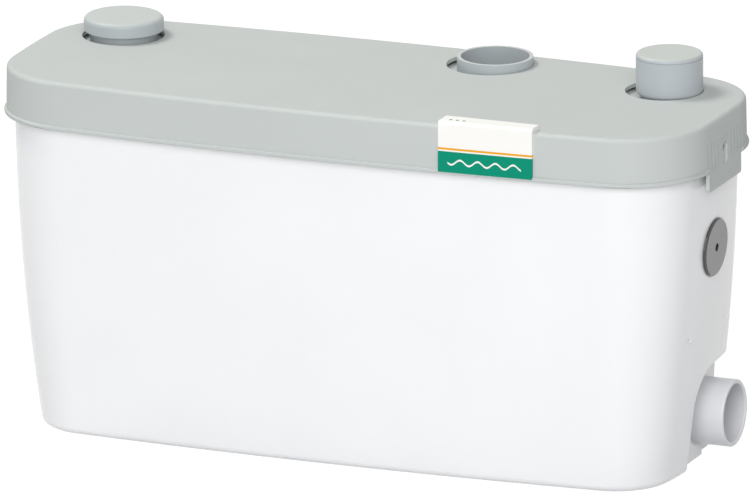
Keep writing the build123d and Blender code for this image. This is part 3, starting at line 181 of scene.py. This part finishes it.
class Mask:
    """Arithmetic on a tree's coordinates, for masks with soft edges."""

    def __init__(self, tree):
        self.tree = tree
        split = tree.node("ShaderNodeSeparateXYZ")
        tree.link(tree.place(), split.inputs["Vector"])
        self.x, self.y, self.z = (split.outputs[axis] for axis in "XYZ")

    def work(self, operation, first, second=0.0):
        made = self.tree.node("ShaderNodeMath", operation=operation)
        for value, socket in zip((first, second), made.inputs):
            if isinstance(value, float):
                socket.default_value = value
            else:
                self.tree.link(value, socket)
        return made.outputs["Value"]

    def below(self, value, limit, soft=0.00006):
        """1 where the value is below the limit."""
        made = self.tree.node("ShaderNodeMapRange", interpolation_type="SMOOTHSTEP")
        made.inputs["From Min"].default_value = limit - soft
        made.inputs["From Max"].default_value = limit + soft
        made.inputs["To Min"].default_value = 1.0
        made.inputs["To Max"].default_value = 0.0
        self.tree.link(value, made.inputs["Value"])
        return made.outputs["Result"]

    def away(self, value, middle):
        """Distance of a coordinate from a middle value."""
        return self.work("ABSOLUTE", self.work("SUBTRACT", value, middle))

    def radius(self, first, second):
        """Distance from a point, each of the two pairs a coordinate and the point's value on it."""
        squares = []
        for pair in (first, second):
            side = self.away(*pair)
            squares.append(self.work("MULTIPLY", side, side))
        return self.work("SQRT", self.work("ADD", *squares))


# Materials

DARKER = 0.985
LIGHTER = 1.01


def shade(colour, by):
    return tuple(min(1.0, channel * by) for channel in colour)


def plastic(name, colour, rough, grain, grain_size=1900.0, peel=0.03, coat=0.0, painted_top_light=None, gloss=0.5):
    """Moulded plastic: uneven gloss, fine grain, slow waviness, and painted light from above: a lighter colour
    on what faces up.
    """
    tree = Tree(name)
    mottle = tree.noise(scale=14.0, detail=4.0, roughness=0.55)
    tone = tree.spread(mottle, low=0.0, high=1.0, start=0.3, end=0.7)
    skin = tree.blend(tone, shade(colour, DARKER), shade(colour, LIGHTER))
    # Painted light: faces that point up blend to the lighter top colour, the sides keep the darker one.
    if painted_top_light is not None:
        split = tree.node("ShaderNodeSeparateXYZ")
        tree.link(tree.node("ShaderNodeTexCoord").outputs["Normal"], split.inputs["Vector"])
        lit_from_above = tree.spread(split.outputs["Z"], low=0.0, high=1.0, start=0.4, end=0.95)
        skin = tree.blend(lit_from_above, skin, tree.blend(tone, shade(painted_top_light, DARKER), shade(painted_top_light, LIGHTER)))
    tree.feed("Base Color", skin)
    smear = tree.noise(scale=38.0, detail=6.0, roughness=0.62, stretch=(1.0, 1.0, 2.4))
    tree.feed("Roughness", tree.spread(smear, low=rough * 0.88, high=rough * 1.14))
    slow = tree.bump(tree.noise(scale=26.0, detail=1.0), strength=peel, distance=0.6 * MM)
    pores = tree.noise(scale=grain_size, detail=2.0, roughness=0.6)
    tree.feed("Normal", tree.bump(pores, strength=grain, distance=0.06 * MM, before=slow))
    tree.set("Coat Weight", coat)
    tree.set("Coat Roughness", 0.12)
    tree.set("IOR", 1.46)
    tree.set("Specular IOR Level", gloss)
    return tree.material


def metal(name, colour, rough, stretch, depth):
    """Drawn or brushed metal, its scratches along one direction."""
    tree = Tree(name)
    lines = tree.noise(scale=900.0, detail=4.0, roughness=0.7, stretch=stretch)
    tone = tree.spread(lines, low=0.0, high=1.0)
    tree.feed("Base Color", tree.blend(tone, shade(colour, 0.86), shade(colour, 1.06)))
    tree.feed("Roughness", tree.spread(lines, low=rough * 0.8, high=rough * 1.25))
    tree.feed("Normal", tree.bump(lines, strength=depth, distance=0.03 * MM))
    tree.set("Metallic", 1.0)
    return tree.material


def rubber(name, colour):
    """Dull black, with a coarse skin."""
    tree = Tree(name)
    dust = tree.noise(scale=60.0, detail=5.0, roughness=0.6)
    tone = tree.spread(dust, low=0.0, high=1.0)
    tree.feed("Base Color", tree.blend(tone, colour, shade(colour, 1.5)))
    tree.feed("Roughness", tree.spread(dust, low=0.62, high=0.8))
    skin = tree.noise(scale=1400.0, detail=2.0)
    tree.feed("Normal", tree.bump(skin, strength=0.25, distance=0.05 * MM))
    return tree.material


# The badge's print: a white wave on a green band, an amber line above it and dots on the folded top

BADGE_LOW = node_box("badge_plate")[0]
BADGE_WHITE = (0.93, 0.92, 0.885)
BADGE_GREEN = (0.0, 0.27, 0.165)
BADGE_AMBER = (0.84, 0.39, 0.02)
BAND_HEIGHT = 12.6 * MM
LINE_HEIGHT = 1.3 * MM
LINE_GAP = 0.9 * MM
WAVE_HEIGHT = 1.5 * MM
WAVE_LENGTH = 11.0 * MM
WAVE_LINE = 0.55 * MM
WAVE_FROM = 6.0 * MM
WAVE_TO = 51.5 * MM
DOT_RADIUS = 1.0 * MM
DOT_PITCH = 4.2 * MM
DOT_FROM = 6.0 * MM
DOT_BEHIND = 5.78 * MM
DOT_COUNT = 3


def badge_face(name):
    """Glossy white plate with its print."""
    tree = Tree(name)
    mask = Mask(tree)
    tone = tree.spread(tree.noise(scale=40.0), low=0.0, high=1.0)
    colour = tree.blend(tone, shade(BADGE_WHITE, DARKER), BADGE_WHITE)

    band_top = BADGE_LOW.z + BAND_HEIGHT
    colour = tree.blend(mask.below(mask.z, band_top), colour, BADGE_GREEN)

    line_half = LINE_HEIGHT / 2
    line = mask.below(mask.away(mask.z, band_top + LINE_GAP + line_half), line_half)
    colour = tree.blend(line, colour, BADGE_AMBER)

    along = mask.work("SUBTRACT", mask.x, BADGE_LOW.x)
    turn = mask.work("MULTIPLY", along, 2 * math.pi / WAVE_LENGTH)
    wave = mask.work("MULTIPLY", mask.work("SINE", turn), WAVE_HEIGHT)
    off = mask.away(mask.work("SUBTRACT", mask.z, band_top - BAND_HEIGHT / 2), wave)
    wide = mask.below(mask.away(along, (WAVE_FROM + WAVE_TO) / 2), (WAVE_TO - WAVE_FROM) / 2)
    colour = tree.blend(mask.work("MULTIPLY", mask.below(off, WAVE_LINE), wide), colour, BADGE_WHITE)

    for n in range(DOT_COUNT):
        at = BADGE_LOW.x + DOT_FROM + DOT_PITCH * n
        radius = mask.radius((mask.x, at), (mask.y, BADGE_LOW.y + DOT_BEHIND))
        colour = tree.blend(mask.below(radius, DOT_RADIUS), colour, BADGE_GREEN)
    tree.feed("Base Color", colour)
    tree.feed("Roughness", tree.spread(tree.noise(scale=60.0, detail=5.0), low=0.3, high=0.4))
    film = tree.noise(scale=1800.0, detail=2.0)
    tree.feed("Normal", tree.bump(film, strength=0.05, distance=0.05 * MM))
    tree.set("Specular IOR Level", 0.12)
    return tree.material


# The side plug's face

DISC_LOW, DISC_HIGH = node_box("side_plug_disc")
DISC_FACE_RADIUS = 16.6 * MM
DISC_RINGS = 9000.0
DISC_DARK = (0.20, 0.20, 0.20)
DISC_LIGHT = (0.255, 0.255, 0.255)
# The bevel's dark grey is a painted reflection.
DISC_BEVEL_PAINTED_REFLECTION = (0.10, 0.10, 0.10)


def plug_face(name):
    """Turned metal disc, fine rings on its face and a polished bevel painted darker as a dark reflection."""
    tree = Tree(name)
    mask = Mask(tree)
    middle = (DISC_LOW + DISC_HIGH) / 2
    radius = mask.radius((mask.y, middle.y), (mask.z, middle.z))
    rings = mask.work("SINE", mask.work("MULTIPLY", radius, DISC_RINGS))
    grain = tree.noise(scale=1500.0, detail=4.0, roughness=0.7)
    face = mask.below(radius, DISC_FACE_RADIUS)
    turned = tree.blend(tree.spread(grain, low=0.0, high=1.0), DISC_DARK, DISC_LIGHT)
    # Outside the face radius the base colour is the bevel's painted reflection.
    tree.feed("Base Color", tree.blend(mask.work("SUBTRACT", 1.0, face), turned, DISC_BEVEL_PAINTED_REFLECTION))
    tree.feed("Roughness", tree.spread(face, low=0.12, high=0.36, start=0.0, end=1.0))
    ridges = tree.bump(rings, strength=0.15, distance=0.02 * MM)
    tree.feed("Normal", tree.bump(grain, strength=0.2, distance=0.02 * MM, before=ridges))
    tree.set("Metallic", 1.0)
    return tree.material


# What each material slot looks like, and the two nodes with a grey of their own

PLASTICS = {
    "tank_white": {
        "colour": (0.905, 0.91, 0.925),
        "rough": 0.24,
        "grain": 0.1,
        "grain_size": 2600.0,
        "coat": 0.3,
    },
    "pipe_white": {"colour": (0.765, 0.775, 0.795), "rough": 0.33, "grain": 0.14, "grain_size": 2200.0},
    "lid_grey": {"colour": (0.56, 0.592, 0.58), "rough": 0.7, "grain": 0.35, "gloss": 0.15},
    "cover_grey": {"colour": (0.545, 0.575, 0.562), "rough": 0.55, "grain": 0.3},
    # Port, cap and plug: the second, lighter colour is painted light on their tops.
    "port_grey": {"colour": (0.455, 0.495, 0.51), "painted_top_light": (0.55, 0.58, 0.575), "rough": 0.45, "grain": 0.25},
    "cap_grey": {"colour": (0.46, 0.492, 0.515), "painted_top_light": (0.53, 0.565, 0.54), "rough": 0.45, "grain": 0.3},
    "plug_grey": {
        "colour": (0.435, 0.475, 0.488),
        "painted_top_light": (0.53, 0.565, 0.55),
        "rough": 0.42,
        "grain": 0.25,
    },
    "dark_plastic": {
        "colour": (0.022, 0.023, 0.026),
        "rough": 0.5,
        "grain": 0.4,
        "grain_size": 1500.0,
        "peel": 0.05,
    },
}

# How a metal's scratches run: they are drawn out along the axes of small scale

EVEN = (1.0, 1.0, 1.0)
UPRIGHT = (1.0, 1.0, 0.03)
ACROSS = (0.03, 0.03, 1.0)
WOUND = (0.05, 0.05, 1.0)

METALS = {
    "steel": {"colour": (0.55, 0.55, 0.56), "rough": 0.3, "stretch": UPRIGHT, "depth": 0.25},
    "core_steel": {"colour": (0.3, 0.3, 0.32), "rough": 0.45, "stretch": ACROSS, "depth": 0.5},
    "shield_aluminium": {"colour": (0.68, 0.68, 0.69), "rough": 0.5, "stretch": EVEN, "depth": 0.5},
    "winding_copper": {"colour": (0.75, 0.33, 0.13), "rough": 0.35, "stretch": WOUND, "depth": 0.6},
}
RUBBERS = {
    "rubber_black": {"colour": (0.02, 0.02, 0.021)},
    "carbon_felt": {"colour": (0.012, 0.012, 0.012)},
}
OWN_MATERIAL = {"discharge_cap": "cap_grey", "inlet_plug": "plug_grey"}

MATERIALS = {"badge_white": badge_face("badge_white"), "plug_metal": plug_face("plug_metal")}
for make, looks in ((plastic, PLASTICS), (metal, METALS), (rubber, RUBBERS)):
    for name, look in looks.items():
        MATERIALS[name] = make(name, **look)


def dress(piece, material):
    """Gives the piece the material in each place that it has for one."""
    if not piece.data.materials:
        piece.data.materials.append(material)
    for n in range(len(piece.data.materials)):
        piece.data.materials[n] = material


for part in frame["record"]["subparts"]:
    chosen = OWN_MATERIAL.get(part["node"], part["material_slot"])
    dress(NODES[part["node"]], MATERIALS[chosen])

# Small raised triangles on the tank's right end

MARK_Z = 86.5
MARK_PLACES = ((210.3, -30.6), (210.6, 27.1))
MARK_LENGTH = 4.4 * MM
MARK_HEIGHT = 2.6 * MM
MARK_PROUD = 0.5 * MM


def make_end_mark(name, x, y, z):
    """Three-sided wedge that points forwards, half sunk in the wall."""
    tail = y + MARK_LENGTH
    outline = ((y, z), (tail, z + MARK_HEIGHT / 2), (tail, z - MARK_HEIGHT / 2))
    points = [(x + side * MARK_PROUD, *corner) for side in (-1, 1) for corner in outline]
    faces = [(2, 1, 0), (3, 4, 5), (0, 1, 4, 3), (1, 2, 5, 4), (2, 0, 3, 5)]
    mesh = bpy.data.meshes.new(name)
    mesh.from_pydata(points, [], faces)
    mesh.materials.append(MATERIALS["tank_white"])
    mark = put(name, mesh)
    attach(mark, "root")


for n, (x, y) in enumerate(MARK_PLACES):
    make_end_mark(f"end_mark_{n + 1}", x * MM, y * MM, MARK_Z * MM)


# Floor and world: white where they are seen, dimmer in the light that they throw on the unit

FLOOR_HALF = 30.0
FLOOR_GREY = 0.6
FLOOR_GLOW = 1.10
FLOOR_GLOW_SHARE = 0.92
WORLD_FILL = 0.45


def camera_like(tree):
    """1 for camera, glossy and transmission rays."""
    path = tree.nodes.new("ShaderNodeLightPath")
    total = path.outputs["Is Camera Ray"]
    for name in ("Is Glossy Ray", "Is Transmission Ray"):
        larger = tree.nodes.new("ShaderNodeMath")
        larger.operation = "MAXIMUM"
        tree.links.new(total, larger.inputs[0])
        tree.links.new(path.outputs[name], larger.inputs[1])
        total = larger.outputs["Value"]
    return total


def floor_material():
    """Pale grey that glows white where it is seen."""
    material = bpy.data.materials.new("floor")
    material.use_nodes = True
    tree = material.node_tree
    tree.nodes.clear()
    diffuse = tree.nodes.new("ShaderNodeBsdfDiffuse")
    diffuse.inputs["Color"].default_value = (FLOOR_GREY, FLOOR_GREY, FLOOR_GREY, 1.0)
    glow = tree.nodes.new("ShaderNodeEmission")
    glow.inputs["Strength"].default_value = FLOOR_GLOW
    share = tree.nodes.new("ShaderNodeMath")
    share.operation = "MULTIPLY"
    share.inputs[1].default_value = FLOOR_GLOW_SHARE
    tree.links.new(camera_like(tree), share.inputs[0])
    mixed = tree.nodes.new("ShaderNodeMixShader")
    tree.links.new(share.outputs["Value"], mixed.inputs["Fac"])
    tree.links.new(diffuse.outputs["BSDF"], mixed.inputs[1])
    tree.links.new(glow.outputs["Emission"], mixed.inputs[2])
    out = tree.nodes.new("ShaderNodeOutputMaterial")
    tree.links.new(mixed.outputs["Shader"], out.inputs["Surface"])
    return material


def make_floor():
    half = FLOOR_HALF
    mesh = bpy.data.meshes.new("floor")
    corners = [(-half, -half, 0), (half, -half, 0), (half, half, 0), (-half, half, 0)]
    mesh.from_pydata(corners, [], [(0, 1, 2, 3)])
    mesh.materials.append(floor_material())
    floor = put("floor", mesh)


def make_world():
    world = bpy.data.worlds.new("world")
    world.use_nodes = True
    bpy.context.scene.world = world
    tree = world.node_tree
    background = tree.nodes["Background"]
    background.inputs["Color"].default_value = (1.0, 1.0, 1.0, 1.0)
    strength = tree.nodes.new("ShaderNodeMapRange")
    strength.inputs["To Min"].default_value = WORLD_FILL
    strength.inputs["To Max"].default_value = 1.0
    tree.links.new(camera_like(tree), strength.inputs["Value"])
    tree.links.new(strength.outputs["Result"], background.inputs["Strength"])


# Lamps: a large soft one in front, one over the left end and a low one that lifts the front wall

LAMP_TARGET = Vector((0.0, 0.0, 0.12))
LAMP_DISTANCE = 3.1


def make_lamp(name, azimuth, elevation, size, power, colour):
    """Round lamp aimed at the tank."""
    towards = direction(azimuth, elevation)
    data = bpy.data.lights.new(name, "AREA")
    data.shape = "DISK"
    data.size = size
    data.energy = power
    data.color = colour
    lamp = put(name, data)
    lamp.location = LAMP_TARGET + towards * LAMP_DISTANCE
    lamp.rotation_euler = (-towards).to_track_quat("-Z", "Y").to_euler()
    lamp.visible_camera = False


make_floor()
make_world()
make_lamp("key", azimuth=25.0, elevation=30.0, size=1.8, power=39.0, colour=(0.985, 0.99, 1.0))
make_lamp("left", azimuth=-94.0, elevation=60.0, size=1.2, power=40.0, colour=(1.0, 0.995, 0.95))
make_lamp("low", azimuth=12.0, elevation=5.0, size=1.6, power=21.0, colour=(0.975, 0.985, 1.0))

bpy.context.scene.view_settings.view_transform = "Standard"
